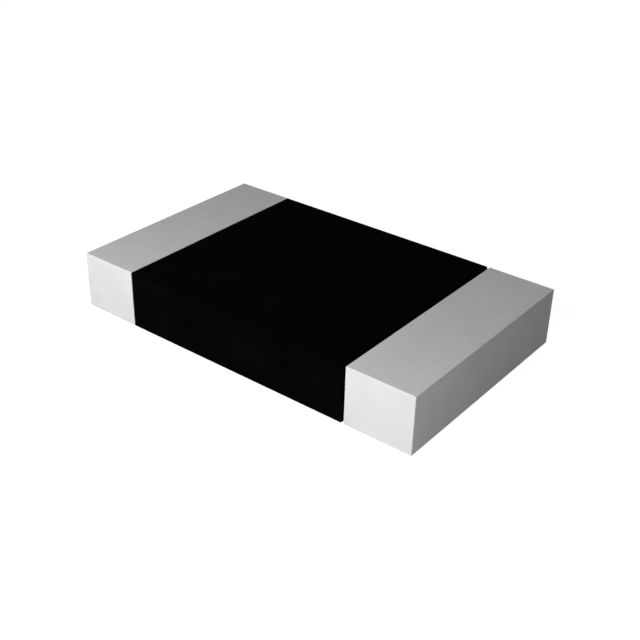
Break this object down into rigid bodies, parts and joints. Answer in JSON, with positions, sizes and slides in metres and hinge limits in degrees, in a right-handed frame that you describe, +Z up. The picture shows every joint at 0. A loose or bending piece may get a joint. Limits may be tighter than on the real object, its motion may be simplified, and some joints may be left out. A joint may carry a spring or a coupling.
{
  "type": "smd chip resistor",
  "caption": "Flat rectangular chip resistor for surface mounting: a metal resistance plate in a black moulded body, with grey plated end terminals that wrap round for soldering to pads.",
  "frame": {"origin": "middle of the chip's footprint, on the plane of its solder faces", "axes": "+X along the length from the left terminal to the right terminal, +Y across the width, +Z up from the solder faces"},
  "size_m": [0.002, 0.0012, 0.0003],
  "materials": {
    "resistance_alloy": "rolled copper-manganese alloy, bare under the body",
    "black_epoxy": "matte moulded",
    "copper": "electroplated",
    "nickel": "electroplated satin",
    "matte_tin": "electroplated matte"
  },
  "bodies": {
    "root": {"resistance_plate": "resistance_alloy", "moulded_body": "black_epoxy", "copper_electrode_left": "copper", "copper_electrode_right": "copper", "nickel_barrier_left": "nickel", "nickel_barrier_right": "nickel", "tin_plating_left": "matte_tin", "tin_plating_right": "matte_tin"}
  },
  "joints": []
}
